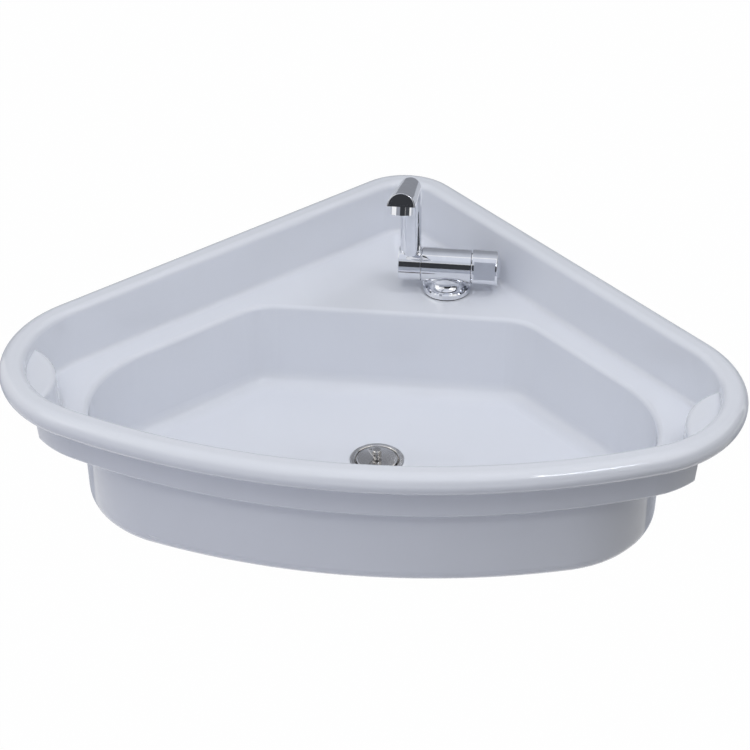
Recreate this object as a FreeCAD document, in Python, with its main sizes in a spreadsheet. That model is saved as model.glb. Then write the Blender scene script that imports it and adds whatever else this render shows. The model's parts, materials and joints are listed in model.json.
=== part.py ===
import FreeCAD, Part
import math
import os
import re

import Sketcher

# A moulded corner wash basin for a motor home, with a folding cold-water tap and a plug waste.
# Lengths are millimetres and angles are degrees.
# The origin is on the waste axis, in the plane of the rim's seat on the worktop.
# +X points right, +Y to the back corner, +Z up.

SIZES = (
    # Plan of the basin: the curve along the middle of the rolled rim
    ("apex_back", 327.5, "waste axis to the point where the two straight rim lines would cross"),
    ("corner_half", 45, "angle between a straight side and the line from front to back"),
    ("back_radius", 48.5, "rim curve at the back corner"),
    ("side_radius", 107.6, "rim curve at the left and right corners"),
    ("front_radius", 673.7, "bowed front of the rim curve"),
    ("front_centre", 462.4, "centre of the bowed front, behind the waste axis"),
    # Section of the moulded shell
    ("wall", 6, "thickness of the moulded sheet"),
    ("rim_width", 24.5, "outside of the rolled rim across"),
    ("rim_height", 22.25, "top of the rim above its seat"),
    ("rim_round", 11.5, "outer edge of the rim"),
    ("rim_shoulder", 7, "inner edge of the rim"),
    ("lip_angle", 40, "how far the outer edge goes on below its middle before it runs straight"),
    ("tray_draft", 6, "slope of the tray wall"),
    ("deck_depth", 33, "seat down to the tap deck"),
    ("deck_fillet", 5.5, "tray wall into deck"),
    ("band_fillet", 4.5, "lower outer edge of the tray wall"),
    ("under_fillet", 3, "underside of the deck into the outside of the bowl"),
    # Raised shelf at each end of the tray, with a wall bowed towards the bowl
    ("shelf_level", 8.5, "shelf above the rim's seat"),
    ("shelf_out", 23.1, "rim curve out to the centre of the shelf's bow"),
    ("shelf_turn", 13.8, "centre of the bow, towards the front"),
    ("shelf_radius", 64, "bow of the shelf's edge"),
    ("shelf_draft", 3, "slope of the shelf's wall"),
    ("shelf_fillet", 4.5, "shelf over into its wall"),
    # Bowl, given for its inner face at deck level
    ("bowl_side_inset", 44.75, "rim curve to the straight side walls of the bowl"),
    ("bowl_front_inset", 28.2, "rim curve to the front wall of the bowl"),
    ("bowl_back_inset", 197, "crossing of the rim lines to the back wall of the bowl"),
    ("bowl_back_radius", 45, "plan radius of the two back corners"),
    ("bowl_side_radius", 108.3, "plan radius of the two side corners"),
    ("bowl_depth", 86.5, "deck down to the floor of the bowl"),
    ("bowl_draft", 6, "slope of the back and side walls"),
    ("bowl_front_draft", 2, "slope of the front wall"),
    ("bowl_edge_fillet", 5, "deck over into the bowl"),
    ("floor_fillet", 17, "inside, walls into floor"),
    ("base_fillet", 15, "outside, walls into base"),
    # Tap on the deck
    ("tap_x", 51, "tap shank right of the waste axis"),
    ("tap_inset", 145.5, "crossing of the rim lines to the tap shank"),
    ("tap_height", 28, "tap axis above the deck"),
    ("gasket_thickness", 1.5, "rubber ring under the tap flange"),
    ("flange_radius", 24.6, "tap base flange"),
    ("flange_height", 5.5, "tap base flange with its bevel"),
    ("flange_bevel", 1, "height of the bevel on the flange"),
    ("flange_slope", 1.6, "width of the bevel on the flange"),
    ("neck_radius", 15, "neck between flange and barrel"),
    ("neck_sweep", 7.5, "hollow curve from flange to neck"),
    ("shank_radius", 14, "threaded shank through the deck"),
    ("shank_length", 45, "shank below the deck"),
    ("hole_gap", 0.6, "deck hole round the shank"),
    ("barrel_half", 25, "half the length of the tap barrel"),
    ("barrel_radius", 17.3, "tap barrel and spout hub"),
    ("edge_chamfer", 0.7, "broken edges of the tap's turned pieces"),
    ("waterway", 5, "radius of the water way along the tap axis"),
    ("inlet_way", 4.4, "radius of the water way up the shank"),
    ("washer_thickness", 2, "steel clamp washer"),
    ("backing_thickness", 3, "rubber backing washer"),
    ("washer_radius", 22, "both washers under the deck"),
    ("nut_height", 10, "lock nut on the shank"),
    ("nut_corner", 22, "lock nut over its corners, as a radius"),
    ("stem_radius", 6, "inlet stem"),
    ("stem_bore", 4.8, "bore of the inlet stem"),
    ("stem_root", 5.6, "turned-down end of the inlet stem"),
    ("stem_depth", 10, "inlet stem inside the shank"),
    ("stem_length", 34, "inlet stem below the shank"),
    # Clearances
    ("running_gap", 0.05, "radial gap of a turning fit"),
    ("thread_gap", 0.05, "radial gap left between mating threads"),
    ("side_gap", 0.3, "end gap between pieces that turn against each other"),
    # Folding spout
    ("hub_length", 23, "spout hub"),
    ("spigot_radius", 10, "pivot that the hub turns on"),
    ("spigot_thread", 9, "threaded end of the pivot"),
    ("spigot_grip", 12, "threaded end inside the barrel"),
    ("spigot_stub", 2, "pivot past the floor of the hub's recess"),
    ("hub_recess", 4, "recess in the outer end of the hub"),
    ("cap_radius", 14, "cap in the outer end of the hub"),
    ("cap_thickness", 1.6, "hub cap"),
    ("cap_dome", 0.6, "how far the hub cap stands out"),
    ("clip_width", 1, "groove of the retaining clip"),
    ("clip_radius", 12.5, "retaining clip"),
    ("groove_radius", 8.5, "floor of the seal grooves"),
    ("seal_section", 1.5, "thickness of the pivot seals"),
    ("seal_inset", 1.7, "ends of the hub bore to the middle of each seal"),
    ("port_radius", 4, "water ports of the pivot"),
    ("spout_way", 2.8, "radius of the water way in the spout"),
    ("tube_radius", 10.5, "spout tube"),
    ("tube_root", 11.5, "start of the tube above the tap axis, inside the hub wall"),
    ("tube_height", 74.5, "start of the bend above the tap axis"),
    ("bend_radius", 22, "bend of the spout, to the middle of the tube"),
    ("bend_angle", 68.5, "turn of the spout from upright"),
    ("arm_length", 70, "arm that swells from the tube to the hood"),
    ("hood_length", 26, "straight hood over the outlet"),
    ("hood_radius", 13.5, "arch of the hood"),
    ("hood_drop", 4, "flat underside of the hood below the middle of the arm"),
    ("hood_lip", 1.3, "rim round the hollow end of the hood"),
    ("hood_hollow", 3, "depth of the hollow end of the hood"),
    # Outlet
    ("outlet_set", 13, "outlet axis behind the end of the hood"),
    ("outlet_radius", 11, "aerator housing"),
    ("outlet_length", 9.5, "aerator housing below the hood"),
    ("outlet_thread", 9, "upper thread of the aerator housing"),
    ("outlet_grip", 6, "upper thread inside the hood"),
    ("insert_radius", 8.6, "perforated insert"),
    ("insert_lip", 0.8, "lip that carries the insert"),
    ("insert_hole", 1.1, "holes in the insert"),
    ("insert_pitch", 5.2, "ring of holes in the insert"),
    ("insert_washer", 1.5, "washer above the insert"),
    # Valve
    ("web_thickness", 6, "web between the two bores of the barrel"),
    ("web_place", 8, "middle of the web, left of the shank"),
    ("cartridge_radius", 13, "valve bore in the barrel"),
    ("seat_thickness", 2.5, "rubber seat"),
    ("disc_radius", 9, "ceramic discs"),
    ("disc_thickness", 3, "ceramic discs"),
    ("disc_port", 2.6, "port through each disc"),
    ("disc_port_set", 4.6, "disc port off the axis"),
    ("disc_gap", 0.05, "film between the discs"),
    ("drive_thickness", 3.6, "driving flange of the spindle"),
    ("spindle_radius", 4, "valve spindle"),
    ("spindle_reach", 20, "spindle beyond the barrel"),
    ("head_radius", 9, "cartridge head beyond the barrel"),
    ("head_length", 4, "cartridge head beyond the barrel"),
    # Knob
    ("knob_gap", 0.4, "barrel end to knob"),
    ("knob_radius", 18, "knob"),
    ("knob_length", 26.6, "knob"),
    ("knob_round", 2.2, "rounded outer edge of the knob"),
    ("knob_hollow", 14, "hollow round the cartridge head"),
    ("knob_hollow_depth", 7.6, "hollow round the cartridge head"),
    ("knob_flat", 15.5, "finger flats from the axis"),
    ("knob_flat_margin", 2.6, "knob ends to the finger flats"),
    ("knob_turned", 15.5, "how far the finger flat looks up at rest"),
    ("knob_cap_radius", 13, "cap in the end of the knob"),
    ("knob_cap_seat", 1.4, "depth of the cap seat"),
    ("knob_well", 9, "well for the screw under the cap"),
    ("knob_web", 3, "web under the screw head"),
    ("knob_cap_dome", 1.8, "rise of the cap"),
    ("screw_radius", 2, "knob screw"),
    ("screw_head", 3.6, "knob screw head"),
    ("screw_head_height", 2.4, "knob screw head"),
    ("screw_length", 12, "knob screw below its head"),
    ("screw_bore", 10, "depth of the screw hole in the spindle"),
    # Waste and plug, heights from the floor of the bowl
    ("recess_depth", 1.5, "seat of the waste flange in the floor"),
    ("recess_gap", 0.6, "recess round the waste flange"),
    ("waste_radius", 26.2, "waste flange"),
    ("waste_thickness", 1.6, "waste flange"),
    ("waste_seal_thickness", 1, "rubber ring under the flange"),
    ("cup_radius", 21.6, "inside of the waste cup"),
    ("cup_wall", 1.5, "wall of the waste cup"),
    ("cup_depth", 7, "floor of the bowl down to the ledge in the cup"),
    ("cup_gap", 0.4, "floor hole round the cup"),
    ("waste_tube", 20, "threaded tube of the waste"),
    ("throat_radius", 18, "upper bore of the tube"),
    ("throat_depth", 17, "floor down to the strainer's ledge"),
    ("tube_bore", 16.5, "lower bore of the tube"),
    ("tube_depth", 30.5, "floor down to the end of the tube"),
    ("gasket_height", 4.5, "rubber gasket under the bowl"),
    ("gasket_radius", 30, "rubber gasket under the bowl"),
    ("back_nut_height", 10, "back nut"),
    ("back_nut_corner", 33, "back nut over its corners, as a radius"),
    ("strainer_thickness", 1.2, "strainer"),
    ("strainer_hole", 2.6, "holes in the strainer"),
    ("strainer_pitch", 10, "ring of holes in the strainer"),
    ("tail_washer_height", 2, "washer above the tail"),
    ("tail_flange", 3, "collar of the tail"),
    ("tail_radius", 12.5, "hose spigot"),
    ("tail_bore", 10.5, "bore of the hose spigot"),
    ("tail_length", 40, "hose spigot below its collar"),
    ("tail_relief", 0.5, "hose spigot turned down inside the coupling nut"),
    ("tail_nut_height", 16.6, "coupling nut"),
    ("tail_nut_lip", 2.5, "lip of the coupling nut"),
    ("tail_nut_corner", 27, "coupling nut over its corners, as a radius"),
    ("plug_radius", 20.2, "plug cap"),
    ("plug_thickness", 1.9, "plug cap"),
    ("plug_top", 1.9, "plug cap above the floor"),
    ("plug_bevel", 1.0, "bevelled edge of the plug cap"),
    ("plug_seat_gap", 0.3, "rubber of the plug above its ledge"),
    ("plug_inset", 0.5, "rubber of the plug inside its cap and the throat"),
    ("plug_reach", 11, "floor down to the end of the rubber"),
    ("stud_radius", 4.6, "knob of the plug"),
    ("stud_height", 10, "knob of the plug"),
    ("stud_neck", 3.2, "foot of the knob of the plug"),
    ("stud_neck_height", 1.5, "foot of the knob of the plug"),
    ("stud_stem", 2, "stem through the plug"),
    ("stud_tail", 0.8, "stem past its nut"),
    ("plug_nut_height", 2.4, "nut under the plug"),
    ("plug_nut_corner", 3.9, "nut under the plug over its corners, as a radius"),
    ("eye_height", 5, "cross hole above the plug cap"),
    ("eye_offset", 2.2, "cross hole left of the plug axis"),
    ("eye_radius", 1.1, "cross hole"),
    ("link_wire", 0.7, "wire of the pull link, as a radius"),
    ("link_half", 6.6, "half the base of the pull link"),
    ("link_height", 8.5, "base to tip of the pull link"),
    ("link_bend", 1.2, "bends of the pull link"),
    ("link_lift", 36, "how far the pull link stands up at rest"),
)

# Places that follow from the sizes, as expressions on the sheet
DECK = "-deck_depth"
UNDER_DECK = "-(deck_depth + wall)"
FLOOR = "-(deck_depth + bowl_depth)"
SIDE_LINE = "(apex_back * sin(corner_half) - side_radius)"
SIDE_CROSS = "(front_centre * sin(corner_half) - %s)" % SIDE_LINE
SIDE_REACH = "sqrt((front_radius - side_radius) ^ 2 - %s ^ 2)" % SIDE_CROSS
SIDE_RUN = "(%s - front_centre * cos(corner_half))" % SIDE_REACH
SIDE_X = "(%s * cos(corner_half) + %s * sin(corner_half))" % (SIDE_LINE, SIDE_RUN)
SIDE_Y = "(%s * sin(corner_half) - %s * cos(corner_half))" % (SIDE_LINE, SIDE_RUN)
SHELF_X = "(%s + (side_radius + shelf_out) * cos(shelf_turn))" % SIDE_X
SHELF_Y = "(%s - (side_radius + shelf_out) * sin(shelf_turn))" % SIDE_Y
BOWL_BACK = "(apex_back - bowl_back_inset)"
TAP_Y = "(apex_back - tap_inset)"
TAP_AXIS = "(tap_height - deck_depth)"
HUB_RIGHT = "-(barrel_half + side_gap)"
HUB_LEFT = "-(barrel_half + side_gap + hub_length)"
HUB_MIDDLE = "-(barrel_half + side_gap + hub_length / 2)"
HUB_FLOOR = "(hub_recess - (barrel_half + side_gap + hub_length))"
BEND_Y = "-bend_radius * (1 - cos(bend_angle))"
BEND_Z = "(tube_height + bend_radius * sin(bend_angle))"
WASTE_TOP = "(waste_seal_thickness + waste_thickness - recess_depth)"

X_AXIS = FreeCAD.Vector(1, 0, 0)
Y_AXIS = FreeCAD.Vector(0, 1, 0)
Z_AXIS = FreeCAD.Vector(0, 0, 1)
ALONG_X = FreeCAD.Rotation(Y_AXIS, 90)

doc = FreeCAD.newDocument("corner_basin")
sheet = doc.addObject("Spreadsheet::Sheet", "Sizes")
for row, (alias, number, meaning) in enumerate(SIZES, start=1):
    sheet.set("A%d" % row, meaning)
    sheet.set("B%d" % row, str(number))
    sheet.setAlias("B%d" % row, alias)
doc.recompute()
ALIASES = {alias for alias, number, meaning in SIZES}
pieces = []


def bound(text):
    """Return an expression with each size's name turned into its cell."""
    def cell(word):
        return "Sizes." + word.group() if word.group() in ALIASES else word.group()

    return re.sub(r"[a-z]\w*", cell, text)


def value(text):
    """Return the number that an expression on the sizes gives now."""
    return float(sheet.evalExpression(text))


def new_sketch(body, name, plane, across="0", along="0", lift="0"):
    """Attach a sketch to one of the body's own origin planes, moved within and off that plane."""
    sketch = body.newObject("Sketcher::SketchObject", name)
    support = next(item for item in body.Origin.OriginFeatures if item.Role == plane)
    sketch.AttachmentSupport = [(support, "")]
    sketch.MapMode = "FlatFace"
    for axis, text in (("x", across), ("y", along), ("z", lift)):
        if text != "0":
            sketch.setExpression("AttachmentOffset.Base." + axis, bound(text))
    return sketch


def tilt_sketch(sketch, axis, angle):
    """Turn an attached sketch about one axis of its plane."""
    spot = sketch.AttachmentOffset.Base
    sketch.AttachmentOffset = FreeCAD.Placement(spot, FreeCAD.Rotation(axis, value(angle)))
    sketch.setExpression("AttachmentOffset.Rotation.Angle", bound(angle))


def bind(sketch, constraint, text):
    """Add a constraint and tie its size to the sheet."""
    number = sketch.addConstraint(constraint)
    sketch.setExpression("Constraints[%d]" % number, bound(text))


def arc_between(start, finish, radius):
    """Return the arc under a half circle from start to finish; a positive radius turns left."""
    chord = finish - start
    rise = math.sqrt(max(radius ** 2 - chord.Length ** 2 / 4, 0))
    left = FreeCAD.Vector(-chord.y, chord.x, 0).normalize()
    centre = (start + finish) / 2 + left * math.copysign(rise, radius)
    first, last = (start, finish) if radius > 0 else (finish, start)
    first_angle = math.atan2(first.y - centre.y, first.x - centre.x)
    last_angle = math.atan2(last.y - centre.y, last.x - centre.x)
    if last_angle < first_angle:
        last_angle += 2 * math.pi
    return Part.ArcOfCircle(Part.Circle(centre, Z_AXIS, abs(radius)), first_angle, last_angle)


def draw(sketch, corners, closed=True):
    """Draw a line through corners given as (across, along) or (across, along, radius).

    A radius bends the side that starts at that corner. All three are expressions, and every corner and
    radius stays tied to the sheet.
    """
    spots = [FreeCAD.Vector(value(corner[0]), value(corner[1]), 0) for corner in corners]
    count = len(corners)
    sides = count if closed else count - 1
    ends = []
    for index in range(sides):
        start = spots[index]
        finish = spots[(index + 1) % count]
        if len(corners[index]) == 3:
            radius = value(corners[index][2])
            sketch.addGeometry(arc_between(start, finish, radius), False)
            ends.append((1, 2) if radius > 0 else (2, 1))
        else:
            sketch.addGeometry(Part.LineSegment(start, finish), False)
            ends.append((1, 2))
    for index in range(sides if closed else sides - 1):
        following = (index + 1) % count
        joint = Sketcher.Constraint("Coincident", index, ends[index][1], following, ends[following][0])
        sketch.addConstraint(joint)
    for index, corner in enumerate(corners):
        side = min(index, sides - 1)
        end = ends[side][0] if index < sides else ends[side][1]
        bind(sketch, Sketcher.Constraint("DistanceX", side, end, value(corner[0])), corner[0])
        bind(sketch, Sketcher.Constraint("DistanceY", side, end, value(corner[1])), corner[1])
    for index in range(sides):
        if len(corners[index]) == 3:
            size = "abs(%s)" % corners[index][2]
            bind(sketch, Sketcher.Constraint("Radius", index, value(size)), size)


def draw_circle(sketch, across, along, radius):
    """Draw a circle whose centre and radius are tied to the sheet."""
    centre = FreeCAD.Vector(value(across), value(along), 0)
    side = sketch.addGeometry(Part.Circle(centre, Z_AXIS, value(radius)), False)
    bind(sketch, Sketcher.Constraint("DistanceX", side, 3, centre.x), across)
    bind(sketch, Sketcher.Constraint("DistanceY", side, 3, centre.y), along)
    bind(sketch, Sketcher.Constraint("Radius", side, value(radius)), radius)


def new_body(label):
    """Start a sub-part."""
    body = doc.addObject("PartDesign::Body", label)
    body.Label = label
    pieces.append(body)
    return body


def feature(body, kind, name, profile, **settings):
    """Add a feature made from a sketch."""
    item = body.newObject("PartDesign::" + kind, name)
    item.Profile = profile
    for setting, content in settings.items():
        setattr(item, setting, content)
    return item


def revolve(body, name, corners, kind="Revolution"):
    """Turn a profile of (radius, height) corners about the body's own Z axis."""
    sketch = new_sketch(body, name + "_profile", "XZ_Plane")
    draw(sketch, corners)
    return feature(body, kind, name, sketch, ReferenceAxis=(sketch, ["V_Axis"]), Angle=360)


def turned(label, corners):
    """Make a whole sub-part by turning one profile."""
    body = new_body(label)
    revolve(body, label + "_turn", corners)
    return body


def ring(label, inner, outer, low, high):
    """Make a plain ring, such as a washer or a seal."""
    return turned(label, [(inner, low), (outer, low), (outer, high), (inner, high)])


def seat(item, x, y, z, turn=FreeCAD.Rotation(), angle=None):
    """Put a sub-part in its place in the basin's frame; an angle ties its turn to the sheet."""
    item.Placement = FreeCAD.Placement(FreeCAD.Vector(), turn)
    for axis, text in zip("xyz", (x, y, z)):
        item.setExpression("Placement.Base." + axis, bound(text))
    if angle:
        item.setExpression("Placement.Rotation.Angle", bound(angle))
    return item


def on_tap_axis(body):
    """Lay a piece that was turned about Z along the tap axis, with its zero over the shank."""
    return seat(body, "tap_x", TAP_Y, TAP_AXIS, ALONG_X)


def pocket(body, name, sketch, depth=None, reverse=False):
    """Cut a sketch into the body, by a depth or right through both ways."""
    doc.recompute()
    before = body.Shape.Volume
    item = feature(body, "Pocket", name, sketch, Reversed=reverse)
    if depth is None:
        item.Type = "ThroughAll"
        item.Midplane = True
    else:
        item.setExpression("Length", bound(depth))
    doc.recompute()
    if not item.Shape.Volume < before - 0.001:
        raise RuntimeError("%s cuts nothing" % name)
    return item


def bore(body, name, plane, across, along, radius, lift="0", depth=None, reverse=False):
    """Cut a round hole at a place on one of the body's origin planes, moved off it by a lift."""
    sketch = new_sketch(body, name + "_circle", plane, lift=lift)
    draw_circle(sketch, across, along, radius)
    return pocket(body, name, sketch, depth, reverse)


def origin_part(body, role):
    """Return one of the body's own axes or planes as a reference for patterns."""
    return (next(item for item in body.Origin.OriginFeatures if item.Role == role), [""])


def polar(body, name, original, axis, count):
    """Repeat a feature round an axis of the body."""
    item = body.newObject("PartDesign::PolarPattern", name)
    item.Originals = [original]
    item.Axis = axis
    item.Angle = 360
    item.Occurrences = count
    body.Tip = item
    doc.recompute()
    return item


def hex_nut(label, corner, height, hole, lip="0", lip_hole=None):
    """Make a hexagon nut with its upper face at zero, and a narrower lip at its lower end if wanted."""
    hexagon = doc.addObject("Part::Prism", label + "_hexagon")
    hexagon.Polygon = 6
    hexagon.setExpression("Circumradius", bound(corner))
    hexagon.setExpression("Height", bound(height))
    hexagon.setExpression("Placement.Base.z", bound("-(%s)" % height))
    thread = doc.addObject("Part::Cylinder", label + "_thread")
    thread.setExpression("Radius", bound(hole))
    thread_low = "-(%s) * 2" % height
    if lip_hole:
        thread_low = "(%s) - (%s)" % (lip, height)
    thread.setExpression("Height", bound("(%s) - (%s)" % (height, thread_low)))
    thread.setExpression("Placement.Base.z", bound(thread_low))
    tool = thread
    if lip_hole:
        narrow = doc.addObject("Part::Cylinder", label + "_lip_hole")
        narrow.setExpression("Radius", bound(lip_hole))
        narrow.setExpression("Height", bound("(%s) * 3" % height))
        narrow.setExpression("Placement.Base.z", bound("-(%s) * 2" % height))
        tool = doc.addObject("Part::MultiFuse", label + "_bores")
        tool.Shapes = [thread, narrow]
    nut = doc.addObject("Part::Cut", label)
    nut.Label = label
    nut.Base = hexagon
    nut.Tool = tool
    pieces.append(nut)
    return nut


def seal_ring(label, place):
    """Make a seal with broken corners that fills a groove of the pivot, at a place along the tap axis."""
    half = "(seal_section / 2)"
    corner = "(seal_section / 5)"
    outer = "(groove_radius + seal_section)"
    low = "(%s - %s)" % (place, half)
    high = "(%s + %s)" % (place, half)
    return on_tap_axis(turned(label, [
        ("groove_radius", low + " + " + corner),
        ("groove_radius + " + corner, low),
        (outer + " - " + corner, low),
        (outer, low + " + " + corner),
        (outer, high + " - " + corner),
        (outer + " - " + corner, high),
        ("groove_radius + " + corner, high),
        ("groove_radius", high + " - " + corner),
    ]))


def level_edges(shape, level, test=lambda middle: True):
    """Return the names of the edges that lie flat at a height and whose middle passes a test."""
    found = []
    for number, edge in enumerate(shape.Edges, start=1):
        box = edge.BoundBox
        if abs(box.ZMin - level) < 0.0001 and abs(box.ZMax - level) < 0.0001:
            middle = edge.valueAt((edge.FirstParameter + edge.LastParameter) / 2)
            if test(middle):
                found.append("Edge%d" % number)
    return found


def end_edges(shape, place, radius):
    """Return the circles of a radius that lie in a plane across the X axis."""
    found = []
    for number, edge in enumerate(shape.Edges, start=1):
        box = edge.BoundBox
        flat = abs(box.XMin - place) < 0.001 and abs(box.XMax - place) < 0.001
        if flat and isinstance(edge.Curve, Part.Circle) and abs(edge.Curve.Radius - radius) < 0.001:
            found.append("Edge%d" % number)
    return found


def fillet(body, name, base, edges, radius):
    """Round some edges of the last feature."""
    item = body.newObject("PartDesign::Fillet", name)
    item.Base = (base, edges)
    item.setExpression("Radius", bound(radius))
    doc.recompute()
    return item


# Basin shell


def rim_points(inset):
    """Return the tangent points and centres of the rim curve moved inwards by an inset."""
    half = math.radians(value("corner_half"))
    back = FreeCAD.Vector(0, value("apex_back - back_radius / sin(corner_half)"), 0)
    front = FreeCAD.Vector(0, value("front_centre"), 0)
    normal = FreeCAD.Vector(math.cos(half), math.sin(half), 0)
    line_shift = value("apex_back * sin(corner_half) - side_radius")
    reach = value("front_radius - side_radius")
    # The side centre is on the line normal * P = line_shift and on a circle about the front centre
    along = FreeCAD.Vector(normal.y, -normal.x, 0)
    foot = normal * line_shift
    to_foot = foot - front
    middle = to_foot.dot(along)
    run = math.sqrt(middle ** 2 - to_foot.dot(to_foot) + reach ** 2) - middle
    side = foot + along * run
    front_r = value("front_radius") - inset
    side_r = value("side_radius") - inset
    back_r = value("back_radius") - inset
    to_side = (side - front).normalize()
    return {
        "front": front, "side": side, "back": back,
        "front_r": front_r, "side_r": side_r, "back_r": back_r,
        "front_mid": front - FreeCAD.Vector(0, front_r, 0),
        "front_side": front + to_side * front_r,
        "side_line": side + normal * side_r,
        "line_back": back + normal * back_r,
    }


def flip(spot):
    """Mirror a point from right to left."""
    return FreeCAD.Vector(-spot.x, spot.y, spot.z)


def draw_side_slopes(sketch, right, left):
    """Hold the two straight sides of a plan at their angle to the line from front to back."""
    for side, slope in ((right, "90 + corner_half"), (left, "-(90 + corner_half)")):
        bind(sketch, Sketcher.Constraint("Angle", side, math.radians(value(slope))), slope)


def draw_rim_curve(sketch, inset):
    """Draw the closed rim curve, moved inwards by an inset, from mid-front round to the right."""
    plan = rim_points(value(inset))
    sides = [
        arc_between(plan["front_mid"], plan["front_side"], plan["front_r"]),
        arc_between(plan["front_side"], plan["side_line"], plan["side_r"]),
        Part.LineSegment(plan["side_line"], plan["line_back"]),
        arc_between(plan["line_back"], flip(plan["line_back"]), plan["back_r"]),
        Part.LineSegment(flip(plan["line_back"]), flip(plan["side_line"])),
        arc_between(flip(plan["side_line"]), flip(plan["front_side"]), plan["side_r"]),
        arc_between(flip(plan["front_side"]), plan["front_mid"], plan["front_r"]),
    ]
    for side in sides:
        sketch.addGeometry(side, False)
    for index in range(6):
        sketch.addConstraint(Sketcher.Constraint("Tangent", index, 2, index + 1, 1))
    sketch.addConstraint(Sketcher.Constraint("Coincident", 6, 2, 0, 1))
    sketch.addConstraint(Sketcher.Constraint("Coincident", 6, 3, 0, 3))
    sketch.addConstraint(Sketcher.Constraint("PointOnObject", 0, 1, -2))
    sketch.addConstraint(Sketcher.Constraint("PointOnObject", 0, 3, -2))
    sketch.addConstraint(Sketcher.Constraint("PointOnObject", 3, 3, -2))
    draw_side_slopes(sketch, 2, 4)
    bind(sketch, Sketcher.Constraint("DistanceY", 0, 3, value("front_centre")), "front_centre")
    back_centre = "apex_back - back_radius / sin(corner_half)"
    bind(sketch, Sketcher.Constraint("DistanceY", 3, 3, value(back_centre)), back_centre)
    for side, radius in ((0, "front_radius"), (1, "side_radius"), (3, "back_radius")):
        size = "%s - (%s)" % (radius, inset)
        bind(sketch, Sketcher.Constraint("Radius", side, value(size)), size)
    sketch.addConstraint(Sketcher.Constraint("Equal", 1, 5))


def bowl_points(shrink, front_shrink):
    """Return the points of the bowl's plan, moved inwards all round and by another amount at the front."""
    half = math.radians(value("corner_half"))
    normal = FreeCAD.Vector(math.cos(half), math.sin(half), 0)
    along = FreeCAD.Vector(normal.y, -normal.x, 0)
    front = FreeCAD.Vector(0, value("front_centre"), 0)
    front_r = value("front_radius - bowl_front_inset") - front_shrink
    side_r = value("bowl_side_radius") - shrink
    back_r = value("bowl_back_radius") - shrink
    line = value("apex_back * sin(corner_half) - bowl_side_inset") - shrink
    foot = normal * (line - side_r)
    to_foot = foot - front
    middle = to_foot.dot(along)
    run = math.sqrt(middle ** 2 - to_foot.dot(to_foot) + (front_r - side_r) ** 2) - middle
    side = foot + along * run
    back_y = value(BOWL_BACK) - shrink
    back_x = ((line - back_r) - (back_y - back_r) * normal.y) / normal.x
    back = FreeCAD.Vector(back_x, back_y - back_r, 0)
    return {
        "front": front, "front_r": front_r, "side_r": side_r, "back_r": back_r,
        "front_side": front + (side - front).normalize() * front_r,
        "side_line": side + normal * side_r,
        "line_back": back + normal * back_r,
        "back_edge": FreeCAD.Vector(back.x, back_y, 0),
    }


def draw_bowl_plan(sketch, drop, out):
    """Draw the bowl's plan a drop below the deck, an amount outside its inner face."""
    shrink = "((%s) * tan(bowl_draft) - (%s))" % (drop, out)
    front_shrink = "((%s) * tan(bowl_front_draft) - (%s))" % (drop, out)
    plan = bowl_points(value(shrink), value(front_shrink))
    sides = [
        arc_between(flip(plan["front_side"]), plan["front_side"], plan["front_r"]),
        arc_between(plan["front_side"], plan["side_line"], plan["side_r"]),
        Part.LineSegment(plan["side_line"], plan["line_back"]),
        arc_between(plan["line_back"], plan["back_edge"], plan["back_r"]),
        Part.LineSegment(plan["back_edge"], flip(plan["back_edge"])),
        arc_between(flip(plan["back_edge"]), flip(plan["line_back"]), plan["back_r"]),
        Part.LineSegment(flip(plan["line_back"]), flip(plan["side_line"])),
        arc_between(flip(plan["side_line"]), flip(plan["front_side"]), plan["side_r"]),
    ]
    for side in sides:
        sketch.addGeometry(side, False)
    for index in range(8):
        sketch.addConstraint(Sketcher.Constraint("Tangent", index, 2, (index + 1) % 8, 1))
    sketch.addConstraint(Sketcher.Constraint("PointOnObject", 0, 3, -2))
    sketch.addConstraint(Sketcher.Constraint("Horizontal", 4))
    draw_side_slopes(sketch, 2, 6)
    sketch.addConstraint(Sketcher.Constraint("Equal", 1, 7))
    sketch.addConstraint(Sketcher.Constraint("Equal", 3, 5))
    bind(sketch, Sketcher.Constraint("DistanceY", 0, 3, value("front_centre")), "front_centre")
    radii = (
        (0, "front_radius - bowl_front_inset - " + front_shrink),
        (1, "bowl_side_radius - " + shrink),
        (3, "bowl_back_radius - " + shrink),
    )
    for side, size in radii:
        bind(sketch, Sketcher.Constraint("Radius", side, value(size)), size)
    back_edge = BOWL_BACK + " - " + shrink
    bind(sketch, Sketcher.Constraint("DistanceY", 4, 1, value(back_edge)), back_edge)
    line = "apex_back * sin(corner_half) - bowl_side_inset - " + shrink
    for side in (2, 6):
        bind(sketch, Sketcher.Constraint("Distance", -1, 1, side, value(line)), line)


def bowl_loft(body, name, kind, levels, out):
    """Loft the bowl's plan between two depths below the deck."""
    plans = []
    for number, drop in enumerate(levels):
        level = "%s - (%s)" % (DECK, drop)
        sketch = new_sketch(body, "%s_plan_%d" % (name, number), "XY_Plane", lift=level)
        draw_bowl_plan(sketch, drop, out)
        plans.append(sketch)
    item = feature(body, kind, name, plans[0], Ruled=True)
    item.Sections = plans[1:]
    doc.recompute()
    return item


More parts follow.
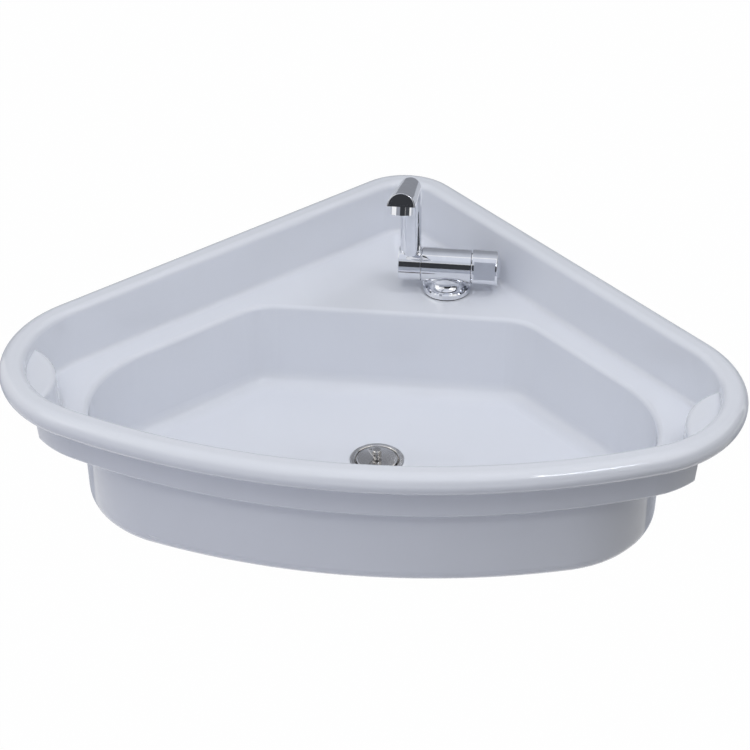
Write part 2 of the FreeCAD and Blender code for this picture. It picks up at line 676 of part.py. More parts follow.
def draw_shelf_plan(sketch, edge, inset):
    """Draw the plan of the right shelf between its bowed edge and an arc beside the rim curve."""
    side = FreeCAD.Vector(value(SIDE_X), value(SIDE_Y), 0)
    middle = FreeCAD.Vector(value(SHELF_X), value(SHELF_Y), 0)
    rim = "side_radius - (%s)" % inset
    reach = (middle - side).Length
    toward = (middle - side) / reach
    near = (reach ** 2 + value(rim) ** 2 - value(edge) ** 2) / (2 * reach)
    half = math.sqrt(value(rim) ** 2 - near ** 2)
    foot = side + toward * near
    across = FreeCAD.Vector(-toward.y, toward.x, 0) * half
    sketch.addGeometry(arc_between(foot - across, foot + across, value(rim)), False)
    sketch.addGeometry(arc_between(foot + across, foot - across, value(edge)), False)
    sketch.addConstraint(Sketcher.Constraint("Coincident", 0, 2, 1, 1))
    sketch.addConstraint(Sketcher.Constraint("Coincident", 1, 2, 0, 1))
    for arc, x, y, radius in ((0, SIDE_X, SIDE_Y, rim), (1, SHELF_X, SHELF_Y, edge)):
        bind(sketch, Sketcher.Constraint("DistanceX", arc, 3, value(x)), x)
        bind(sketch, Sketcher.Constraint("DistanceY", arc, 3, value(y)), y)
        bind(sketch, Sketcher.Constraint("Radius", arc, value(radius)), radius)


def shelf_loft(body, name, kind, levels):
    """Loft the shelf's plan between two levels of (height, edge, inset), and mirror it to the left."""
    plans = []
    for number, (level, edge, inset) in enumerate(levels):
        sketch = new_sketch(body, "%s_plan_%d" % (name, number), "XY_Plane", lift=level)
        draw_shelf_plan(sketch, edge, inset)
        plans.append(sketch)
    item = feature(body, kind, name, plans[0], Ruled=True)
    item.Sections = plans[1:]
    doc.recompute()
    pair = body.newObject("PartDesign::Mirrored", name + "_pair")
    pair.Originals = [item]
    pair.MirrorPlane = origin_part(body, "YZ_Plane")
    body.Tip = pair
    doc.recompute()
    return pair


def make_basin_shell():
    """Rolled rim and tray wall in one sweep, a deck plate, a bowl with its holes, and two end shelves."""
    body = new_body("basin_shell")

    path = new_sketch(body, "rim_path", "XY_Plane")
    draw_rim_curve(path, "0")
    section = new_sketch(body, "rim_section", "YZ_Plane")
    front = "(front_centre - front_radius)"
    # Middles of the two rounded edges, across from the rim curve and above the seat
    outer_x = "(%s + rim_round - rim_width / 2)" % front
    outer_z = "(rim_height - rim_round)"
    inner_x = "(%s + rim_width / 2 - rim_shoulder)" % front
    inner_z = "(rim_height - rim_shoulder)"
    roll = "(rim_round - wall)"
    turn = "(rim_shoulder - wall)"
    tray_face = "((rim_width / 2 - rim_shoulder) + %s / cos(tray_draft) + (%s - (%s)) * tan(tray_draft))"
    lip_run = "(%s - %s * sin(lip_angle)) / cos(lip_angle)" % (outer_z, roll)
    lip_inner = "(%s * cos(lip_angle) - %s * sin(lip_angle))" % (roll, lip_run)

    def inside(level):
        return tray_face % ("rim_shoulder", inner_z, level)

    def outside(level):
        return tray_face % (turn, inner_z, level)

    shoulder_x = inner_x + " + rim_shoulder * cos(tray_draft)"
    shoulder_z = inner_z + " + rim_shoulder * sin(tray_draft)"
    draw(section, [
        (shoulder_x, shoulder_z, "rim_shoulder"),
        (inner_x, "rim_height"),
        (outer_x, "rim_height", "rim_round"),
        (outer_x + " - sqrt(rim_round ^ 2 - %s ^ 2)" % outer_z, "0"),
        (outer_x + " - " + lip_inner, "0"),
        (outer_x + " - %s * cos(lip_angle)" % roll, outer_z + " - %s * sin(lip_angle)" % roll, "-" + roll),
        (outer_x, outer_z + " + " + roll),
        (inner_x, inner_z + " + " + turn, "-" + turn),
        (inner_x + " + %s * cos(tray_draft)" % turn, inner_z + " + %s * sin(tray_draft)" % turn),
        (front + " + " + outside(UNDER_DECK), UNDER_DECK),
        (front + " + " + inside(UNDER_DECK), UNDER_DECK),
    ])
    doc.recompute()
    rim = body.newObject("PartDesign::AdditivePipe", "rolled_rim")
    rim.Profile = section
    rim.Spine = (path, ["Edge%d" % number for number in range(1, 8)])
    doc.recompute()

    tray_inset = inside(DECK)
    deck_plan = new_sketch(body, "deck_plan", "XY_Plane", lift=UNDER_DECK)
    draw_rim_curve(deck_plan, tray_inset + " - wall / 2")
    deck = feature(body, "Pad", "deck", deck_plan)
    deck.setExpression("Length", bound("wall"))
    doc.recompute()

    bowl_loft(body, "bowl_outside", "AdditiveLoft", ("wall / 2", "bowl_depth + wall"), "wall")
    bowl_loft(body, "bowl_inside", "SubtractiveLoft", ("0", "bowl_depth"), "0")

    # Each shelf is a raised part of the sheet, so it is open below
    def bow(level):
        return "(shelf_radius + (shelf_level - (%s)) * tan(shelf_draft))" % level

    def mid_wall(level):
        return "(%s + %s) / 2" % (inside(level), outside(level))

    below = UNDER_DECK + " - 1"
    soffit = "shelf_level - wall"
    hollow = "rim_width / 8"
    shelf_loft(body, "shelf", "AdditiveLoft", (
        (UNDER_DECK, bow(UNDER_DECK), mid_wall(UNDER_DECK)),
        ("shelf_level", bow("shelf_level"), mid_wall("shelf_level")),
    ))
    last = shelf_loft(body, "shelf_underside", "SubtractiveLoft", (
        (below, bow(below) + " - wall", hollow),
        (soffit, bow(soffit) + " - wall", hollow),
    ))

    # Edges of the bowl lie further from the rim curve than those of the tray wall, and beyond the shelves
    halfway = value("(%s + bowl_front_inset - wall) / 2" % tray_inset)
    shelf_middle = FreeCAD.Vector(value(SHELF_X), value(SHELF_Y), 0)
    shelf_reach = value(bow(UNDER_DECK)) + 1

    def by_shelf(middle):
        return (FreeCAD.Vector(abs(middle.x), middle.y, 0) - shelf_middle).Length < shelf_reach

    def by_tray(middle):
        return Part.Vertex(middle.x, middle.y, 0).distToShape(path.Shape)[0] < halfway or by_shelf(middle)

    def by_bowl(middle):
        return not by_tray(middle)

    def by_edge(middle):
        return by_shelf(middle) and Part.Vertex(middle.x, middle.y, 0).distToShape(path.Shape)[0] > halfway

    rounds = (
        ("floor_round", FLOOR, by_bowl, "floor_fillet"),
        ("base_round", FLOOR + " - wall", by_bowl, "base_fillet"),
        ("bowl_edge_round", DECK, by_bowl, "bowl_edge_fillet"),
        ("shelf_round", "shelf_level", by_edge, "shelf_fillet"),
        ("deck_round", DECK, by_tray, "deck_fillet"),
        ("band_round", UNDER_DECK, by_tray, "band_fillet"),
        ("under_round", UNDER_DECK, by_bowl, "under_fillet"),
    )
    for name, level, test, radius in rounds:
        last = fillet(body, name, last, level_edges(last.Shape, value(level), test), radius)

    bore(body, "tap_hole", "XY_Plane", "tap_x", TAP_Y, "shank_radius + hole_gap", DECK + " + 1", "wall + 2")
    over_floor = FLOOR + " + 1"
    recess = "waste_radius + recess_gap"
    cup_hole = "cup_radius + cup_wall + cup_gap"
    bore(body, "waste_recess", "XY_Plane", "0", "0", recess, over_floor, "recess_depth + 1")
    bore(body, "waste_hole", "XY_Plane", "0", "0", cup_hole, over_floor, "wall + 2")


def make_tap_body():
    """Barrel on a flanged shank, bored for the pivot, the valve and the water; its zero is on the deck."""
    body = new_body("tap_body")
    flange_top = "(gasket_thickness + flange_height)"
    revolve(body, "tap_pillar", [
        ("0", "-shank_length"),
        ("shank_radius - edge_chamfer", "-shank_length"),
        ("shank_radius", "edge_chamfer - shank_length"),
        ("shank_radius", "gasket_thickness"),
        ("flange_radius", "gasket_thickness"),
        ("flange_radius", flange_top + " - flange_bevel"),
        ("flange_radius - flange_slope", flange_top),
        ("neck_radius + neck_sweep", flange_top, "-neck_sweep"),
        ("neck_radius", flange_top + " + neck_sweep"),
        ("neck_radius", "tap_height"),
        ("0", "tap_height"),
    ])
    circle = new_sketch(body, "barrel_circle", "YZ_Plane")
    draw_circle(circle, "0", "tap_height", "barrel_radius")
    barrel = feature(body, "Pad", "barrel", circle, Midplane=True)
    barrel.setExpression("Length", bound("2 * barrel_half"))
    doc.recompute()
    half = value("barrel_half")
    radius = value("barrel_radius")
    ends = end_edges(barrel.Shape, -half, radius) + end_edges(barrel.Shape, half, radius)
    broken = body.newObject("PartDesign::Chamfer", "barrel_ends")
    broken.Base = (barrel, ends)
    broken.setExpression("Size", bound("edge_chamfer"))
    doc.recompute()
    bore(body, "pivot_bore", "YZ_Plane", "0", "tap_height", "spigot_thread + thread_gap", "-barrel_half",
         "barrel_half - web_place - web_thickness / 2", True)
    bore(body, "valve_bore", "YZ_Plane", "0", "tap_height", "cartridge_radius", "barrel_half",
         "barrel_half + web_place - web_thickness / 2")
    bore(body, "web_hole", "YZ_Plane", "0", "tap_height", "waterway")
    bore(body, "inlet_bore", "XY_Plane", "0", "0", "inlet_way", "-shank_length",
         "shank_length + tap_height", True)
    bore(body, "stem_socket", "XY_Plane", "0", "0", "stem_root + thread_gap", "-shank_length",
         "stem_depth", True)
    seat(body, "tap_x", TAP_Y, DECK)


def make_tap_fixings():
    """Rubber and steel rings, nut and inlet stem that hold and feed the tap."""
    hole = "shank_radius + hole_gap"
    backing_low = "-(wall + backing_thickness)"
    clamp_low = "-(wall + backing_thickness + washer_thickness)"
    at_tap = ("tap_x", TAP_Y, DECK)
    seat(ring("tap_gasket", hole, "flange_radius - 1", "0", "gasket_thickness"), *at_tap)
    seat(ring("tap_backing_washer", hole, "washer_radius", backing_low, "-wall"), *at_tap)
    seat(ring("tap_clamp_washer", hole, "washer_radius", clamp_low, backing_low), *at_tap)
    nut = hex_nut("tap_lock_nut", "nut_corner", "nut_height", "shank_radius + thread_gap")
    seat(nut, "tap_x", TAP_Y, "%s + %s" % (DECK, clamp_low))
    low = "-(shank_length + stem_length)"
    seat(turned("tap_inlet_stem", [
        ("stem_bore", low),
        ("stem_radius - edge_chamfer", low),
        ("stem_radius", low + " + edge_chamfer"),
        ("stem_radius", "-shank_length"),
        ("stem_root", "-shank_length"),
        ("stem_root", "stem_depth - shank_length"),
        ("stem_bore", "stem_depth - shank_length"),
    ]), *at_tap)


def make_pivot():
    """Fixed pivot that the spout turns on, with its seals and retaining clip."""
    end = "(%s - spigot_stub)" % HUB_FLOOR
    clip_right = "(%s - side_gap)" % HUB_FLOOR
    clip_left = "(%s - side_gap - clip_width)" % HUB_FLOOR
    seal_left = "(%s + seal_inset)" % HUB_FLOOR
    seal_right = "(%s - seal_inset)" % HUB_RIGHT
    half = "(seal_section / 2 + 0.1)"
    grip_end = "(spigot_grip - barrel_half)"
    blind = "(%s - port_radius - side_gap)" % HUB_MIDDLE
    body = turned("spout_spigot", [
        ("0", end),
        ("spigot_radius", end),
        ("spigot_radius", clip_left),
        ("spigot_thread", clip_left),
        ("spigot_thread", clip_right),
        ("spigot_radius", clip_right),
        ("spigot_radius", "%s - %s" % (seal_left, half)),
        ("groove_radius", "%s - %s" % (seal_left, half)),
        ("groove_radius", "%s + %s" % (seal_left, half)),
        ("spigot_radius", "%s + %s" % (seal_left, half)),
        ("spigot_radius", "%s - %s" % (seal_right, half)),
        ("groove_radius", "%s - %s" % (seal_right, half)),
        ("groove_radius", "%s + %s" % (seal_right, half)),
        ("spigot_radius", "%s + %s" % (seal_right, half)),
        ("spigot_radius", "-barrel_half"),
        ("spigot_thread", "-barrel_half"),
        ("spigot_thread", grip_end),
        ("waterway", grip_end),
        ("waterway", blind),
        ("0", blind),
    ])
    bore(body, "pivot_port", "YZ_Plane", "0", HUB_MIDDLE, "port_radius")
    on_tap_axis(body)
    seal_ring("spout_seal_outer", seal_left)
    seal_ring("spout_seal_inner", seal_right)
    clip = ring("spout_clip", "spigot_thread + thread_gap", "clip_radius",
                clip_left + " + 0.05", clip_right + " - 0.05")
    on_tap_axis(clip)


def draw_hood(sketch, inset):
    """Draw the arched section of the hood, moved inwards by an inset."""
    arch = "(hood_radius - %s)" % inset
    flat = "(%s - hood_drop)" % inset
    half = "sqrt(%s ^ 2 - %s ^ 2)" % (arch, inset)
    draw(sketch, [
        (half, flat, arch),
        ("0", arch + " - hood_drop", arch),
        ("-" + half, flat),
        ("0", flat),
    ])


def on_arm(body, name, along):
    """Attach a sketch square to the spout's arm, at a distance from the end of the bend."""
    rise = "(90 - bend_angle)"
    sketch = new_sketch(
        body, name, "XZ_Plane",
        along="%s + (%s) * sin%s" % (BEND_Z, along, rise),
        lift="(%s) * cos%s - (%s)" % (along, rise, BEND_Y))
    tilt_sketch(sketch, FreeCAD.Vector(-1, 0, 0), rise)
    return sketch


def bend_tube(body, name, kind, radius):
    """Carry a round section from the top of the upright round the bend, as material or as a hollow."""
    sketch = new_sketch(body, name + "_circle", "XY_Plane", lift="tube_height")
    draw_circle(sketch, "0", "0", radius)
    reach = value("bend_radius")
    line = Part.LineSegment(FreeCAD.Vector(0, -reach, 0), FreeCAD.Vector(reach, -reach, 0))
    side = sketch.addGeometry(line, True)
    sketch.addConstraint(Sketcher.Constraint("Horizontal", side))
    bind(sketch, Sketcher.Constraint("DistanceX", side, 1, 0), "0")
    bind(sketch, Sketcher.Constraint("DistanceX", side, 2, reach), "bend_radius")
    bind(sketch, Sketcher.Constraint("DistanceY", side, 1, -reach), "-bend_radius")
    item = feature(body, kind, name, sketch, ReferenceAxis=(sketch, ["Axis0"]))
    item.setExpression("Angle", bound("bend_angle"))
    doc.recompute()
    return item


def make_spout():
    """Hub, bent tube and hooded arm in one piece; its zero is in the middle of the hub."""
    body = new_body("spout")
    rise = "(90 - bend_angle)"
    circle = new_sketch(body, "hub_circle", "YZ_Plane")
    draw_circle(circle, "0", "0", "barrel_radius")
    hub = feature(body, "Pad", "hub", circle, Midplane=True)
    hub.setExpression("Length", bound("hub_length"))
    doc.recompute()
    half = value("hub_length / 2")
    radius = value("barrel_radius")
    ends = end_edges(hub.Shape, -half, radius) + end_edges(hub.Shape, half, radius)
    broken = body.newObject("PartDesign::Chamfer", "hub_ends")
    broken.Base = (hub, ends)
    broken.setExpression("Size", bound("edge_chamfer"))
    doc.recompute()

    round_tube = new_sketch(body, "tube_circle", "XY_Plane", lift="tube_root")
    draw_circle(round_tube, "0", "0", "tube_radius")
    tube = feature(body, "Pad", "tube", round_tube)
    tube.setExpression("Length", bound("tube_height - tube_root"))
    doc.recompute()
    bend_tube(body, "tube_bend", "Revolution", "tube_radius")

    start = on_arm(body, "arm_start", "0")
    slant = "sqrt(hood_radius ^ 2 + hood_drop ^ 2)"
    side = "tube_radius * hood_radius / " + slant
    low = "-tube_radius * hood_drop / " + slant
    draw(start, [
        (side, low, "tube_radius"),
        ("0", "tube_radius", "tube_radius"),
        ("-" + side, low, "tube_radius"),
        ("0", "-tube_radius", "tube_radius"),
    ])
    finish = on_arm(body, "arm_finish", "arm_length")
    draw_hood(finish, "0")
    doc.recompute()
    arm = feature(body, "AdditiveLoft", "arm", start)
    arm.Sections = [finish]
    doc.recompute()
    hood_plan = on_arm(body, "hood_section", "arm_length")
    draw_hood(hood_plan, "0")
    hood = feature(body, "Pad", "hood", hood_plan)
    hood.setExpression("Length", bound("hood_length"))
    doc.recompute()

    hollow = on_arm(body, "hood_hollow_section", "arm_length + hood_length")
    draw_hood(hollow, "hood_lip")
    pocket(body, "hood_hollow_cut", hollow, "hood_hollow")
    bore(body, "hub_bore", "YZ_Plane", "0", "0", "spigot_radius + running_gap")
    bore(body, "hub_recess_cut", "YZ_Plane", "0", "0", "cap_radius", "-hub_length / 2", "hub_recess", True)

    outlet = "(arm_length + hood_length - outlet_set)"
    outlet_y = "%s - %s * cos%s" % (BEND_Y, outlet, rise)
    outlet_z = "%s + %s * sin%s" % (BEND_Z, outlet, rise)
    bore(body, "upright_way", "XY_Plane", "0", "0", "spout_way", depth="tube_height", reverse=True)
    bend_tube(body, "bend_way", "Groove", "spout_way")
    arm_way = on_arm(body, "arm_way_circle", "0")
    draw_circle(arm_way, "0", "0", "spout_way")
    pocket(body, "arm_way", arm_way, outlet, True)

    under_y = "%s - hood_drop * sin%s" % (outlet_y, rise)
    under_z = "%s - hood_drop * cos%s" % (outlet_z, rise)
    thread = new_sketch(body, "outlet_circle", "XY_Plane", along=under_y, lift=under_z)
    tilt_sketch(thread, FreeCAD.Vector(-1, 0, 0), rise)
    draw_circle(thread, "0", "0", "outlet_thread + thread_gap")
    pocket(body, "outlet_bore", thread, "outlet_grip + 0.2", True)
    hub_x = "tap_x + " + HUB_MIDDLE
    seat(body, hub_x, TAP_Y, TAP_AXIS)

    cap_edge = "cap_radius - thread_gap"
    dome = "((%s) ^ 2 + cap_dome ^ 2) / (2 * cap_dome)" % cap_edge
    on_tap_axis(turned("hub_cap", [
        ("0", HUB_LEFT + " + cap_thickness"),
        (cap_edge, HUB_LEFT + " + cap_thickness"),
        (cap_edge, HUB_LEFT, "-" + dome),
        ("0", HUB_LEFT + " - cap_dome"),
    ]))

    tilt = FreeCAD.Rotation(-X_AXIS, value(rise))
    place = (hub_x, TAP_Y + " + " + under_y, TAP_AXIS + " + " + under_z, tilt, rise)
    ledge = "(outlet_length - insert_lip - insert_washer - 6.7)"
    seat(turned("aerator_housing", [
        ("insert_radius - 1.5", "outlet_grip"),
        ("outlet_thread", "outlet_grip"),
        ("outlet_thread", "0"),
        ("outlet_radius", "0"),
        ("outlet_radius", "edge_chamfer - outlet_length"),
        ("outlet_radius - edge_chamfer", "-outlet_length"),
        ("insert_radius - insert_lip", "-outlet_length"),
        ("insert_radius - insert_lip", "insert_lip - outlet_length"),
        ("insert_radius", "insert_lip - outlet_length"),
        ("insert_radius", "-" + ledge),
        ("insert_radius - 1.5", "-" + ledge),
    ]), *place)
    seat(ring("aerator_washer", "insert_radius - 2.5", "insert_radius - thread_gap",
              "-(%s + insert_washer)" % ledge, "-" + ledge), *place)
    insert = turned("aerator_insert", [
        ("0", "insert_lip - outlet_length"),
        ("insert_radius - thread_gap", "insert_lip - outlet_length"),
        ("insert_radius - thread_gap", "-(%s + insert_washer)" % ledge),
        ("0", "-(%s + insert_washer)" % ledge),
    ])
    bore(insert, "insert_middle_hole", "XY_Plane", "0", "0", "insert_hole")
    hole = bore(insert, "insert_outer_hole", "XY_Plane", "insert_pitch", "0", "insert_hole")
    polar(insert, "insert_holes", hole, origin_part(insert, "Z_Axis"), 8)
    seat(insert, *place)


def make_valve():
    """Rubber seat, two ceramic discs, cartridge and spindle inside the barrel."""
    web = "-(web_place - web_thickness / 2)"
    seat_top = "(seat_thickness + %s)" % web
    fixed_top = "(disc_thickness + %s)" % seat_top
    moving_low = "(disc_gap + %s)" % fixed_top
    moving_top = "(disc_thickness + %s)" % moving_low
    drive_top = "(drive_thickness + %s)" % moving_top
    chamber_top = "(side_gap + %s)" % drive_top
    spindle_end = "(barrel_half + spindle_reach)"
    on_tap_axis(ring("seat_seal", "waterway + 0.5", "disc_radius + 0.6", web, seat_top))
    fixed = ring("fixed_disc", "0", "disc_radius", seat_top, fixed_top)
    bore(fixed, "fixed_disc_port", "XY_Plane", "disc_port_set", "0", "disc_port")
    on_tap_axis(fixed)
    moving = ring("moving_disc", "0", "disc_radius", moving_low, moving_top)
    bore(moving, "moving_disc_port", "XY_Plane", "0", "disc_port_set", "disc_port")
    on_tap_axis(moving)
    cartridge = turned("valve_cartridge", [
        ("disc_radius + side_gap", seat_top),
        ("cartridge_radius - thread_gap", seat_top),
        ("cartridge_radius - thread_gap", "barrel_half"),
        ("head_radius", "barrel_half"),
        ("head_radius", "barrel_half + head_length"),
        ("spindle_radius + running_gap", "barrel_half + head_length"),
        ("spindle_radius + running_gap", chamber_top),
        ("disc_radius + side_gap", chamber_top),
    ])
    window = "(%s + %s) / 2" % (moving_low, drive_top)
    bore(cartridge, "cartridge_window", "YZ_Plane", "0", window, "disc_port",
         depth="cartridge_radius + 1", reverse=True)
    on_tap_axis(cartridge)
    on_tap_axis(turned("valve_spindle", [
        ("0", moving_top),
        ("disc_radius", moving_top),
        ("disc_radius", drive_top),
        ("spindle_radius", drive_top),
        ("spindle_radius", spindle_end),
        ("screw_radius + thread_gap", spindle_end),
        ("screw_radius + thread_gap", spindle_end + " - screw_bore"),
        ("0", spindle_end + " - screw_bore"),
    ]))


def make_knob():
    """Knob with two finger flats, its screw and its cap."""
    near_end = "(barrel_half + knob_gap)"
    far_end = "(barrel_half + knob_gap + knob_length)"
    spindle_end = "(barrel_half + spindle_reach)"
    web_top = "(%s + knob_web)" % spindle_end
    cap_seat = "(%s - knob_cap_seat)" % far_end
    body = turned("knob", [
        ("knob_hollow", near_end),
        ("knob_radius - edge_chamfer", near_end),
        ("knob_radius", near_end + " + edge_chamfer"),
        ("knob_radius", far_end + " - knob_round", "knob_round"),
        ("knob_radius - knob_round", far_end),
        ("knob_cap_radius", far_end),
        ("knob_cap_radius", cap_seat),
        ("knob_well", cap_seat),
        ("knob_well", web_top),
        ("screw_radius + thread_gap", web_top),
        ("screw_radius + thread_gap", spindle_end),
        ("spindle_radius + thread_gap", spindle_end),
        ("spindle_radius + thread_gap", near_end + " + knob_hollow_depth"),
        ("knob_hollow", near_end + " + knob_hollow_depth"),
    ])
    flat = new_sketch(body, "knob_flat_plan", "XZ_Plane", across="-knob_flat * sin(knob_turned)",
                      lift="knob_flat * cos(knob_turned)")
    tilt_sketch(flat, -Y_AXIS, "knob_turned")
    low = near_end + " + knob_flat_margin"
    high = far_end + " - knob_flat_margin"
    draw(flat, [("-knob_radius", low), ("knob_radius", low), ("knob_radius", high), ("-knob_radius", high)])
    scoop = pocket(body, "knob_flat_cut", flat, "knob_radius", True)
    polar(body, "knob_flats", scoop, origin_part(body, "Z_Axis"), 2)
    on_tap_axis(body)

    on_tap_axis(turned("knob_screw", [
        ("0", web_top + " - screw_length"),
        ("screw_radius", web_top + " - screw_length"),
        ("screw_radius", web_top),
        ("screw_head", web_top),
        ("screw_head", web_top + " + screw_head_height"),
        ("0", web_top + " + screw_head_height"),
    ]))
    cap_edge = "knob_cap_radius - thread_gap"
    dome = "((%s) ^ 2 + knob_cap_dome ^ 2) / (2 * knob_cap_dome)" % cap_edge
    on_tap_axis(turned("knob_cap", [
        ("0", cap_seat),
        (cap_edge, cap_seat),
        (cap_edge, far_end, dome),
        ("0", far_end + " + knob_cap_dome"),
    ]))


def make_waste():
    """Waste flange with its seals, nuts, strainer and hose spigot; heights are from the floor."""
    at_floor = ("0", "0", FLOOR)
    seal_top = "(waste_seal_thickness - recess_depth)"
    cup_outer = "(cup_radius + cup_wall)"
    ledge = "-(cup_depth + cup_wall)"
    seat(turned("waste_flange", [
        ("cup_radius", WASTE_TOP + " - waste_thickness / 2"),
        ("cup_radius + 0.9", WASTE_TOP),
        ("waste_radius - 0.8", WASTE_TOP),
        ("waste_radius", WASTE_TOP + " - waste_thickness / 2"),
        ("waste_radius", seal_top),
        (cup_outer, seal_top),
        (cup_outer, ledge),
        ("waste_tube", ledge),
        ("waste_tube", "-tube_depth"),
        ("tube_bore", "-tube_depth"),
        ("tube_bore", "-throat_depth"),
        ("throat_radius", "-throat_depth"),
        ("throat_radius", "-cup_depth"),
        ("cup_radius", "-cup_depth"),
    ]), *at_floor)
    floor_hole = "(cup_radius + cup_wall + cup_gap)"
    seat(ring("waste_seal", floor_hole + " + 0.1", "waste_radius - 0.3", "-recess_depth", seal_top),
         *at_floor)
    seat(ring("waste_gasket", cup_outer + " + 0.2", "gasket_radius", "-(wall + gasket_height)", "-wall"),
         *at_floor)
    nut = hex_nut("waste_nut", "back_nut_corner", "back_nut_height", "waste_tube + thread_gap")
    seat(nut, "0", "0", FLOOR + " - (wall + gasket_height)")
    strainer = ring("waste_strainer", "0", "throat_radius - 0.1", "-throat_depth",
                    "strainer_thickness - throat_depth")
    bore(strainer, "strainer_middle_hole", "XY_Plane", "0", "0", "strainer_hole")
    hole = bore(strainer, "strainer_outer_hole", "XY_Plane", "strainer_pitch", "0", "strainer_hole")
    polar(strainer, "strainer_holes", hole, origin_part(strainer, "Z_Axis"), 8)
    seat(strainer, *at_floor)
    washer_low = "-(tube_depth + tail_washer_height)"
    collar_low = "-(tube_depth + tail_washer_height + tail_flange)"
    seat(ring("tail_washer", "tube_bore", "waste_tube - 0.2", washer_low, "-tube_depth"), *at_floor)
    seat(turned("waste_tail", [
        ("tail_bore", collar_low + " - tail_length"),
        ("tail_radius - edge_chamfer", collar_low + " - tail_length"),
        ("tail_radius", collar_low + " - tail_length + edge_chamfer"),
        ("tail_radius", collar_low + " - tail_nut_lip - tail_relief"),
        ("tail_radius - tail_relief", collar_low + " - tail_nut_lip - tail_relief"),
        ("tail_radius - tail_relief", collar_low),
        ("waste_tube - 0.2", collar_low),
        ("waste_tube - 0.2", washer_low),
        ("tail_bore", washer_low),
    ]), *at_floor)
    coupling = hex_nut("tail_nut", "tail_nut_corner", "tail_nut_height", "waste_tube + thread_gap",
                       "tail_nut_lip", "tail_radius + 0.5")
    seat(coupling, "0", "0", "%s + %s - tail_nut_lip + tail_nut_height" % (FLOOR, collar_low))


def make_plug():
    """Lift-out plug: metal cap on a rubber stopper, its stud, nut and pull link."""
    at_floor = ("0", "0", FLOOR)
    cap_low = "(plug_top - plug_thickness)"
    hole = "stud_stem + thread_gap"
    seat(turned("plug_cap", [
        (hole, cap_low),
        ("plug_radius", cap_low),
        ("plug_radius", "plug_top - plug_bevel"),
        ("plug_radius - plug_bevel", "plug_top - plug_bevel / 4"),
        ("stud_neck + 1", "plug_top"),
        (hole, "plug_top"),
    ]), *at_floor)
    stop = "(plug_seat_gap - cup_depth)"
    seat(turned("plug_seal", [
        (hole, "-plug_reach"),
        ("throat_radius - 1 - plug_inset", "-plug_reach"),
        ("throat_radius - plug_inset", stop),
        ("plug_radius - plug_inset", stop),
        ("plug_radius - plug_inset", cap_low),
        (hole, cap_low),
    ]), *at_floor)
    neck_top = "(plug_top + stud_neck_height)"
    stud_top = "(plug_top + stud_height)"
    stem_low = "-(plug_reach + plug_nut_height + stud_tail)"
    stud = turned("plug_stud", [
        ("0", stem_low),
        ("stud_stem", stem_low),
        ("stud_stem", "plug_top"),
        ("stud_neck", "plug_top"),
        ("stud_neck", neck_top),
        ("stud_radius", neck_top + " + edge_chamfer"),
        ("stud_radius", stud_top + " - edge_chamfer"),
        ("stud_radius - edge_chamfer", stud_top),
        ("0", stud_top),
    ])
    bore(stud, "plug_eye", "XZ_Plane", "-eye_offset", "plug_top + eye_height", "eye_radius")
    seat(stud, *at_floor)
    nut = hex_nut("plug_nut", "plug_nut_corner", "plug_nut_height", "stud_stem + thread_gap")
    seat(nut, "0", "0", FLOOR + " - plug_reach")

    link = new_body("plug_ring")
    path = new_sketch(link, "link_path", "XY_Plane")
    base_angle = "atan(link_height / link_half)"
    base_run = "link_bend / tan(%s / 2)" % base_angle
    tip_run = "link_bend * link_height / link_half"
    base_end = "(link_half - %s)" % base_run
    side_x = "-(%s) * sin(%s)" % (base_run, base_angle)
    side_y = "(link_half - (%s) * cos(%s))" % (base_run, base_angle)
    tip_x = "(%s) * sin(%s) - link_height" % (tip_run, base_angle)
    tip_y = "(%s) * cos(%s)" % (tip_run, base_angle)
    draw(path, [
        ("0", "0"),
        ("0", base_end, "link_bend"),
        (side_x, side_y),
        (tip_x, tip_y, "link_bend"),
        (tip_x, "-" + tip_y),
        (side_x, "-" + side_y, "link_bend"),
        ("0", "-" + base_end),
    ])
    wire = new_sketch(link, "link_circle", "XZ_Plane")
    draw_circle(wire, "0", "0", "link_wire")
    doc.recompute()
    sweep = link.newObject("PartDesign::AdditivePipe", "link_wire_sweep")
    sweep.Profile = wire
    sweep.Spine = (path, ["Edge%d" % number for number in range(1, 8)])
    turn = FreeCAD.Rotation(Y_AXIS, value("link_lift"))
    seat(link, "-eye_offset", "0", FLOOR + " + plug_top + eye_height", turn, "link_lift")


def export_pieces():
    """Check every object and write one file for each sub-part."""
    doc.recompute()
    for item in doc.Objects:
        if "Invalid" in item.State or "Error" in item.State:
            raise RuntimeError("%s failed: %s" % (item.Name, item.State))
    os.makedirs("parts", exist_ok=True)
    for piece in pieces:
        if piece.Shape.isNull() or not piece.Shape.isValid() or len(piece.Shape.Solids) != 1:
            raise RuntimeError("%s has no sound solid" % piece.Label)
        piece.Shape.exportStep("parts/%s.step" % piece.Label)


make_basin_shell()
make_tap_body()
make_tap_fixings()
make_pivot()
make_spout()
make_valve()
make_knob()
make_waste()
make_plug()
export_pieces()
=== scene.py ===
import json
import math

